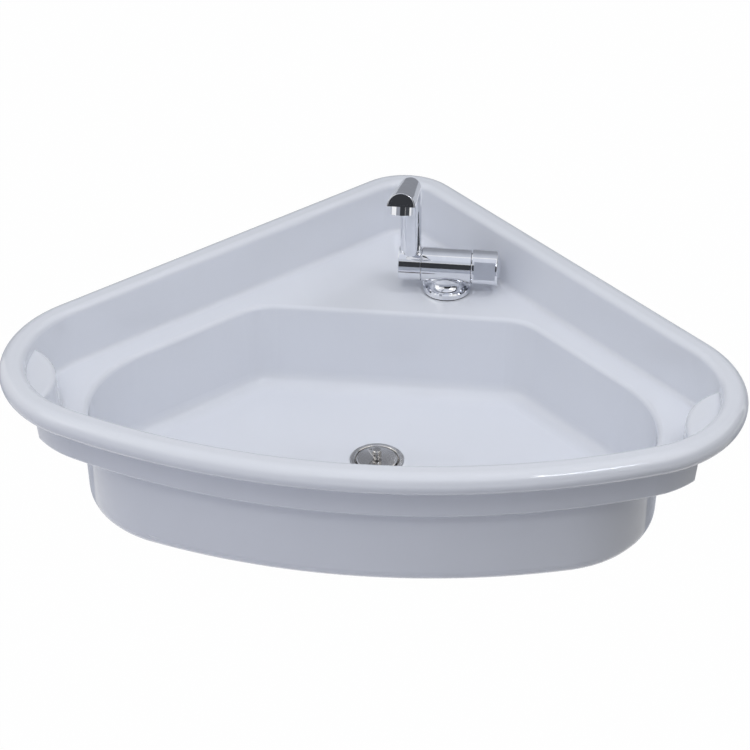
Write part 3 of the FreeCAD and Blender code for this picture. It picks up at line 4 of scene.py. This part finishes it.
import bpy
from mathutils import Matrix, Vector


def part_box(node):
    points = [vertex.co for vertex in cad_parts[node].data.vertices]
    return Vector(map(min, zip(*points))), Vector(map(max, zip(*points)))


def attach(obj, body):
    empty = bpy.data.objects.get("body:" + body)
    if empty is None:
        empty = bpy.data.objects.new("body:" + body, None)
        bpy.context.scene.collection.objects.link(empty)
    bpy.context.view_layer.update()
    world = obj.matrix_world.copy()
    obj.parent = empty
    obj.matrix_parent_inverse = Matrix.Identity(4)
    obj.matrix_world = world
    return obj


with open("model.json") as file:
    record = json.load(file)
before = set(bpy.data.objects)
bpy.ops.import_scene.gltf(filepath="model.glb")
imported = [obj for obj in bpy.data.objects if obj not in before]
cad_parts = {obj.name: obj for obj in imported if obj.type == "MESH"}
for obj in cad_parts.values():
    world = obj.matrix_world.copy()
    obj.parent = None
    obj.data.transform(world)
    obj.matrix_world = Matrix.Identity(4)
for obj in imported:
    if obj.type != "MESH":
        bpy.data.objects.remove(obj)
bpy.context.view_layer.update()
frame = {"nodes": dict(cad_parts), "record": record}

# Lengths are in metres, but for the camera's lens and sensor, which are in millimetres

# Camera, at the photograph's viewing angle
CAMERA_PLACE = Vector((0.23020, -2.09829, 1.40702))
CAMERA_AIM = Vector((0.00303, -0.04452, 0.01000))
CAMERA_LENS = 128.0
CAMERA_SENSOR = 36.0

# Thread on the tap's shank, below its lock nut
SHANK_RADIUS = 0.0140
THREAD_PITCH = 0.0020
THREAD_RIDGE = 0.0006
RIDGE_CORNERS = 4
THREAD_STEPS = 40
# Turns left off, so that the thread stops short of the nut
SPARE_TURNS = 1

# Rounded bead on the arched end of the spout's hood
HOOD_RADIUS = 0.0135
HOOD_END = Vector((0.0142, 0.0776, 0.1213))
ARM_TURN = math.radians(68.5)
BEAD_RADIUS = 0.0006
BEAD_STEPS = 72
BEAD_SIDES = 12

MERGE_GAP = 0.000001
ANY_SIDES = 0
SMOOTH_ANGLE = math.radians(40)
QUARTER_TURN = math.pi / 2

# Noise strengths at which a pattern reaches its lower and its upper end
PATTERN_LOW = 0.3
PATTERN_HIGH = 0.7

# Studio round the basin
FLOOR_LEVEL = -0.90
FLOOR_SIZE = 40.0
FLOOR_TINT = (0.60, 0.62, 0.74)
# Share of pure white in the floor that the camera sees
FLOOR_WHITE = 0.99
FULL_WHITE = 1.0
MATT_ROUGHNESS = 0.9
SURROUND = 0.43
SURROUND_TINT = (0.93, 0.955, 1.0)
CARD_TINT = (0.86, 0.90, 1.0)
FLAG_TINT = (0.04, 0.04, 0.04)
# Side of a card or a flag before it gets its width and height
PLANE_SIDE = 1.0

# Where the lamps point: above the waste at the worktop's level, and inside the bowl
OVER_WASTE = (0.0, 0.0, 0.0)
BOWL_MIDDLE = (0.0, 0.0, -0.05)


def new_material(name):
    """Start a node material and return it with its tree and shader."""
    material = bpy.data.materials.new(name)
    material.use_nodes = True
    tree = material.node_tree
    return material, tree, tree.nodes["Principled BSDF"]


def new_metal(name):
    """Start a node material for a metal and return it with its tree and shader."""
    material, tree, shader = new_material(name)
    shader.inputs["Metallic"].default_value = 1.0
    return material, tree, shader


def add_node(tree, kind, **settings):
    """Add a node with its own properties."""
    node = tree.nodes.new("ShaderNode" + kind)
    for setting, content in settings.items():
        setattr(node, setting, content)
    return node


def object_places(tree):
    """Return the socket that gives a place on the piece in its own metres."""
    return add_node(tree, "TexCoord").outputs["Object"]


def noise(tree, scale, detail):
    """Return the strength of a noise pattern that is fixed to the piece."""
    node = add_node(tree, "TexNoise")
    node.inputs["Scale"].default_value = scale
    node.inputs["Detail"].default_value = detail
    tree.links.new(object_places(tree), node.inputs["Vector"])
    return node.outputs["Fac"]


def rings(tree, scale, detail):
    """Return the strength of a pattern of rings round the waste's axis."""
    # The distance from the axis counts, and the height doesn't
    flat = add_node(tree, "VectorMath", operation="MULTIPLY")
    flat.inputs[1].default_value = (1, 1, 0)
    tree.links.new(object_places(tree), flat.inputs[0])
    length = add_node(tree, "VectorMath", operation="LENGTH")
    tree.links.new(flat.outputs["Vector"], length.inputs[0])
    node = add_node(tree, "TexNoise", noise_dimensions="1D")
    node.inputs["Scale"].default_value = scale
    node.inputs["Detail"].default_value = detail
    tree.links.new(length.outputs["Value"], node.inputs["W"])
    return node.outputs["Fac"]


def spread(tree, strength, low, high, start=PATTERN_LOW, end=PATTERN_HIGH):
    """Map a strength between start and end to a range from low to high."""
    node = add_node(tree, "MapRange")
    node.inputs["From Min"].default_value = start
    node.inputs["From Max"].default_value = end
    node.inputs["To Min"].default_value = low
    node.inputs["To Max"].default_value = high
    tree.links.new(strength, node.inputs["Value"])
    return node.outputs["Result"]


def colour(tree, shader, strength, low, high):
    """Run the shader's colour from one tint to another along a pattern."""
    node = add_node(tree, "ValToRGB")
    first, last = node.color_ramp.elements
    first.position = PATTERN_LOW
    first.color = (*low, 1)
    last.position = PATTERN_HIGH
    last.color = (*high, 1)
    tree.links.new(strength, node.inputs["Fac"])
    tree.links.new(node.outputs["Color"], shader.inputs["Base Color"])


def roughen(tree, shader, strength, low, high):
    """Run the shader's roughness between two values along a pattern."""
    tree.links.new(spread(tree, strength, low, high), shader.inputs["Roughness"])


def dent(tree, shader, strength, amount, depth):
    """Bump the shader along a pattern."""
    node = add_node(tree, "Bump")
    node.inputs["Strength"].default_value = amount
    node.inputs["Distance"].default_value = depth
    tree.links.new(strength, node.inputs["Height"])
    tree.links.new(node.outputs["Normal"], shader.inputs["Normal"])


def white_moulding():
    """Gloss white moulded sheet with a faint cloudiness."""
    material, tree, shader = new_material("white_moulding")
    cloud = noise(tree, scale=9.0, detail=3.0)
    colour(tree, shader, cloud, low=(0.793, 0.816, 0.878), high=(0.808, 0.831, 0.893))
    haze = noise(tree, scale=40.0, detail=4.0)
    roughen(tree, shader, haze, low=0.10, high=0.16)
    shader.inputs["Coat Weight"].default_value = 0.5
    shader.inputs["Coat Roughness"].default_value = 0.03
    ripple = noise(tree, scale=60.0, detail=1.0)
    dent(tree, shader, ripple, amount=0.05, depth=0.0004)
    return material


def chrome_plate():
    """Polished plate with faint wiping marks."""
    material, tree, shader = new_metal("chrome_plate")
    smear = noise(tree, scale=90.0, detail=4.0)
    colour(tree, shader, smear, low=(0.80, 0.81, 0.84), high=(0.86, 0.87, 0.90))
    roughen(tree, shader, smear, low=0.03, high=0.07)
    return material


def satin_steel():
    """Satin stainless steel with fine turning marks round the waste's axis."""
    material, tree, shader = new_metal("satin_steel")
    marks = rings(tree, scale=2600.0, detail=2.0)
    colour(tree, shader, marks, low=(0.55, 0.54, 0.53), high=(0.63, 0.62, 0.61))
    roughen(tree, shader, marks, low=0.12, high=0.20)
    dent(tree, shader, marks, amount=0.05, depth=0.0001)
    return material


def turned_brass():
    """Dull yellow brass."""
    material, tree, shader = new_metal("turned_brass")
    smear = noise(tree, scale=160.0, detail=4.0)
    colour(tree, shader, smear, low=(0.52, 0.37, 0.14), high=(0.68, 0.50, 0.22))
    roughen(tree, shader, smear, low=0.22, high=0.38)
    return material


def black_rubber():
    """Matt black rubber."""
    material, tree, shader = new_material("black_rubber")
    grain = noise(tree, scale=700.0, detail=3.0)
    colour(tree, shader, grain, low=(0.010, 0.010, 0.011), high=(0.022, 0.022, 0.023))
    roughen(tree, shader, grain, low=0.60, high=0.80)
    dent(tree, shader, grain, amount=0.15, depth=0.0003)
    return material


def pale_plastic():
    """Pale moulded plumbing plastic."""
    material, tree, shader = new_material("pale_plastic")
    grain = noise(tree, scale=500.0, detail=3.0)
    colour(tree, shader, grain, low=(0.60, 0.60, 0.58), high=(0.68, 0.68, 0.66))
    roughen(tree, shader, grain, low=0.38, high=0.52)
    dent(tree, shader, grain, amount=0.08, depth=0.0003)
    return material


def lapped_ceramic():
    """Fine white ceramic."""
    material, tree, shader = new_material("lapped_ceramic")
    grain = noise(tree, scale=900.0, detail=2.0)
    colour(tree, shader, grain, low=(0.70, 0.69, 0.65), high=(0.76, 0.75, 0.71))
    roughen(tree, shader, grain, low=0.20, high=0.30)
    return material


FINISHES = {
    "white_moulding": white_moulding(),
    "tap_chrome": chrome_plate(),
    "stainless": satin_steel(),
    "brass": turned_brass(),
    "rubber": black_rubber(),
    "grey_plastic": pale_plastic(),
    "valve_ceramic": lapped_ceramic(),
}


def dress_nodes():
    """Give every node the finish of its slot."""
    for part in frame["record"]["subparts"]:
        piece = frame["nodes"][part["node"]]
        piece.data.materials.clear()
        piece.data.materials.append(FINISHES[part["material_slot"]])


def start_piece(name, finish):
    """Take the primitive that was just added as a new piece with a finish."""
    piece = bpy.context.object
    piece.name = name
    piece.data.name = name
    piece.data.materials.append(FINISHES[finish])
    return piece


def close_mesh(sides):
    """Fill the open ends of the active mesh and turn its faces outwards."""
    bpy.ops.object.mode_set(mode="EDIT")
    bpy.ops.mesh.select_all(action="SELECT")
    bpy.ops.mesh.remove_doubles(threshold=MERGE_GAP)
    bpy.ops.mesh.fill_holes(sides=sides)
    bpy.ops.mesh.normals_make_consistent(inside=False)
    bpy.ops.object.mode_set(mode="OBJECT")


def keep_place():
    """Move the active piece's place and turn into its mesh."""
    bpy.ops.object.transform_apply(location=True, rotation=True, scale=True)


def add_shank_thread():
    """Wind a thread round the tap's shank, from its end up to the lock nut."""
    nut_low, nut_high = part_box("tap_lock_nut")
    shank_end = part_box("tap_body")[0][2]
    turns = int((nut_low[2] - shank_end) / THREAD_PITCH) - SPARE_TURNS
    bpy.ops.object.select_all(action="DESELECT")
    bpy.ops.mesh.primitive_circle_add(
        vertices=RIDGE_CORNERS, radius=THREAD_RIDGE,
        location=(SHANK_RADIUS, 0, 0), rotation=(QUARTER_TURN, 0, 0))
    thread = start_piece("shank_thread", "tap_chrome")
    keep_place()
    winding = thread.modifiers.new("winding", "SCREW")
    winding.axis = "Z"
    winding.screw_offset = THREAD_PITCH
    winding.iterations = turns
    winding.steps = THREAD_STEPS
    winding.render_steps = THREAD_STEPS
    bpy.ops.object.modifier_apply(modifier=winding.name)
    close_mesh(RIDGE_CORNERS)
    middle = [(low + high) / 2 for low, high in zip(nut_low, nut_high)]
    thread.location = (middle[0], middle[1], shank_end + THREAD_PITCH / 2)
    keep_place()
    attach(thread, "basin")


def add_hood_bead():
    """Lay a rounded bead along the arch at the open end of the spout's hood."""
    bpy.ops.object.select_all(action="DESELECT")
    bpy.ops.mesh.primitive_torus_add(
        major_radius=HOOD_RADIUS - BEAD_RADIUS, minor_radius=BEAD_RADIUS,
        major_segments=BEAD_STEPS, minor_segments=BEAD_SIDES)
    bead = start_piece("hood_bead", "tap_chrome")
    bpy.ops.object.mode_set(mode="EDIT")
    bpy.ops.mesh.select_all(action="SELECT")
    # Only the half of the ring that becomes the arch stays
    bpy.ops.mesh.bisect(plane_co=(0, 0, 0), plane_no=(0, 1, 0), use_fill=True, clear_inner=True)
    bpy.ops.object.mode_set(mode="OBJECT")
    close_mesh(ANY_SIDES)
    bpy.ops.object.shade_smooth_by_angle(angle=SMOOTH_ANGLE)
    bead.rotation_euler = (ARM_TURN, 0, 0)
    bead.location = HOOD_END
    keep_place()
    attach(bead, "spout")


def facing(place, aim, axis):
    """Return the turn that points an axis from a place to an aim."""
    return (Vector(aim) - Vector(place)).to_track_quat(axis, "Y").to_euler()


def add_camera():
    """Put the camera where the photograph was taken from."""
    data = bpy.data.cameras.new("photo_camera")
    data.lens = CAMERA_LENS
    data.sensor_width = CAMERA_SENSOR
    camera = bpy.data.objects.new("photo_camera", data)
    camera.location = CAMERA_PLACE
    camera.rotation_euler = facing(CAMERA_PLACE, CAMERA_AIM, "-Z")
    bpy.context.scene.collection.objects.link(camera)
    bpy.context.scene.camera = camera


def add_softbox(name, place, aim, width, height, power, in_chrome):
    """Hang a soft rectangular lamp, which shiny pieces may show."""
    data = bpy.data.lights.new(name, "AREA")
    data.shape = "RECTANGLE"
    data.size = width
    data.size_y = height
    data.energy = power
    lamp = bpy.data.objects.new(name, data)
    lamp.location = place
    lamp.rotation_euler = facing(place, aim, "-Z")
    lamp.visible_glossy = in_chrome
    bpy.context.scene.collection.objects.link(lamp)


def seen_rays(tree):
    """Return 1 for rays that show the background: from the camera, off metal or through glass."""
    path = add_node(tree, "LightPath")
    direct = add_node(tree, "Math", operation="MAXIMUM")
    tree.links.new(path.outputs["Is Camera Ray"], direct.inputs[0])
    tree.links.new(path.outputs["Is Glossy Ray"], direct.inputs[1])
    seen = add_node(tree, "Math", operation="MAXIMUM")
    tree.links.new(direct.outputs[0], seen.inputs[0])
    tree.links.new(path.outputs["Is Transmission Ray"], seen.inputs[1])
    return seen.outputs[0]


def matt_material(name, shade):
    """Start a plain matt material for the studio and return it with its tree and shader."""
    material, tree, shader = new_material(name)
    shader.inputs["Base Color"].default_value = (*shade, 1)
    shader.inputs["Roughness"].default_value = MATT_ROUGHNESS
    return material, tree, shader


def add_floor():
    """Lay a pale floor far below the rim, nearly white to the camera but for the object's shadow."""
    bpy.ops.object.select_all(action="DESELECT")
    bpy.ops.mesh.primitive_plane_add(size=FLOOR_SIZE, location=(0, 0, FLOOR_LEVEL))
    floor = bpy.context.object
    floor.name = "studio_floor"
    material, tree, shader = matt_material("studio_floor", FLOOR_TINT)
    white = add_node(tree, "Emission")
    white.inputs["Strength"].default_value = FULL_WHITE
    share = add_node(tree, "Math", operation="MULTIPLY")
    share.inputs[1].default_value = FLOOR_WHITE
    tree.links.new(seen_rays(tree), share.inputs[0])
    mix = add_node(tree, "MixShader")
    tree.links.new(share.outputs[0], mix.inputs["Fac"])
    tree.links.new(shader.outputs["BSDF"], mix.inputs[1])
    tree.links.new(white.outputs["Emission"], mix.inputs[2])
    tree.links.new(mix.outputs["Shader"], tree.nodes["Material Output"].inputs["Surface"])
    floor.data.materials.append(material)


def stand_plane(name, place, aim, width, height):
    """Stand a plane that faces an aim, out of the camera's sight."""
    bpy.ops.object.select_all(action="DESELECT")
    bpy.ops.mesh.primitive_plane_add(size=PLANE_SIDE, location=place)
    plane = bpy.context.object
    plane.name = name
    plane.scale = (width, height, 1)
    plane.rotation_euler = facing(place, aim, "Z")
    plane.visible_camera = False
    plane.visible_transmission = False
    return plane


def add_card(name, place, aim, width, height, low, high):
    """Stand a plain card that only shiny pieces show, shaded from its lower to its upper edge."""
    card = stand_plane(name, place, aim, width, height)
    card.visible_diffuse = False
    card.visible_shadow = False
    material, tree = new_material(name)[:2]
    across = add_node(tree, "SeparateXYZ")
    tree.links.new(object_places(tree), across.inputs["Vector"])
    shade = spread(tree, across.outputs["Y"], low, high, start=-PLANE_SIDE / 2, end=PLANE_SIDE / 2)
    glow = add_node(tree, "Emission")
    glow.inputs["Color"].default_value = (*CARD_TINT, 1)
    tree.links.new(shade, glow.inputs["Strength"])
    tree.links.new(glow.outputs["Emission"], tree.nodes["Material Output"].inputs["Surface"])
    card.data.materials.append(material)


def add_flag(name, place, aim, width, height):
    """Stand a dark flag that nothing shows, which keeps light off the side that it faces."""
    flag = stand_plane(name, place, aim, width, height)
    flag.visible_glossy = False
    material = matt_material(name, FLAG_TINT)[0]
    flag.data.materials.append(material)


def add_world():
    """White behind the object and a soft grey studio round it."""
    world = bpy.data.worlds.new("studio")
    bpy.context.scene.world = world
    world.use_nodes = True
    tree = world.node_tree
    surround = tree.nodes["Background"]
    surround.inputs["Color"].default_value = (*SURROUND_TINT, 1)
    surround.inputs["Strength"].default_value = SURROUND
    white = add_node(tree, "Background")
    white.inputs["Color"].default_value = (1, 1, 1, 1)
    white.inputs["Strength"].default_value = FULL_WHITE
    mix = add_node(tree, "MixShader")
    tree.links.new(seen_rays(tree), mix.inputs["Fac"])
    tree.links.new(surround.outputs["Background"], mix.inputs[1])
    tree.links.new(white.outputs["Background"], mix.inputs[2])
    tree.links.new(mix.outputs["Shader"], tree.nodes["World Output"].inputs["Surface"])


def hang_lamps():
    """Light the basin softly from above, both sides and the front, with a small lamp for highlights."""
    add_softbox(
        "top_softbox", place=(-0.2, -0.6, 2.4), aim=OVER_WASTE,
        width=2.2, height=1.4, power=10.0, in_chrome=False)
    add_softbox(
        "left_softbox", place=(-2.2, -0.9, 1.7), aim=BOWL_MIDDLE,
        width=1.0, height=1.2, power=3.2, in_chrome=True)
    add_softbox(
        "right_softbox", place=(1.3, -0.4, 2.8), aim=BOWL_MIDDLE,
        width=1.0, height=1.2, power=14.5, in_chrome=False)
    add_softbox(
        "front_softbox", place=(-0.2, -1.9, 2.7), aim=BOWL_MIDDLE,
        width=1.4, height=0.9, power=17.0, in_chrome=False)
    add_softbox(
        "spot_lamp", place=(0.95, -1.55, 2.00), aim=(0.0, 0.1, 0.0),
        width=0.10, height=0.10, power=1.2, in_chrome=True)


def stand_cards():
    """Give the chrome and the gloss the bright and dark fields that they show."""
    add_card(
        "bright_top", place=(-0.2, -0.6, 2.38), aim=OVER_WASTE,
        width=2.2, height=1.4, low=0.80, high=0.85)
    add_card(
        "bright_strip", place=(1.25, -1.40, 1.80), aim=(0.2, -0.2, 0.0),
        width=0.60, height=0.25, low=12.0, high=12.0)
    add_card(
        "dark_front", place=(0.9, -3.0, 1.35), aim=(0.9, 0.0, 1.35),
        width=3.2, height=2.5, low=0.05, high=0.05)
    add_card(
        "pale_front", place=(0.2, -2.4, 2.9), aim=(0.2, 0.2, 0.0),
        width=4.0, height=1.0, low=0.66, high=0.72)
    add_card(
        "grey_front", place=(-2.3, -3.0, 0.9), aim=(-2.3, 0.0, 0.9),
        width=3.2, height=1.6, low=0.35, high=0.45)
    add_card(
        "dark_right", place=(3.0, -0.4, 0.9), aim=(0.0, -0.4, 0.9),
        width=6.0, height=2.4, low=0.08, high=0.08)
    add_card(
        "grey_back", place=(0.0, 3.0, 1.05), aim=(0.0, 0.0, 1.05),
        width=6.0, height=4.0, low=0.30, high=0.38)
    add_card(
        "grey_ceiling", place=(0.0, 1.7, 3.0), aim=(0.0, 1.7, 0.0),
        width=6.0, height=2.8, low=0.75, high=0.35)
    add_card(
        "pale_ground", place=(0.0, 1.8, -0.88), aim=(0.0, 1.8, 1.0),
        width=6.0, height=2.4, low=0.58, high=0.58)


dress_nodes()
add_shank_thread()
add_hood_bead()
add_camera()
add_floor()
add_world()
hang_lamps()
stand_cards()
add_flag("dark_flag", place=(0.56, -0.26, -0.20), aim=(0.30, -0.12, -0.05), width=0.8, height=0.8)

bpy.context.scene.view_settings.view_transform = "Standard"
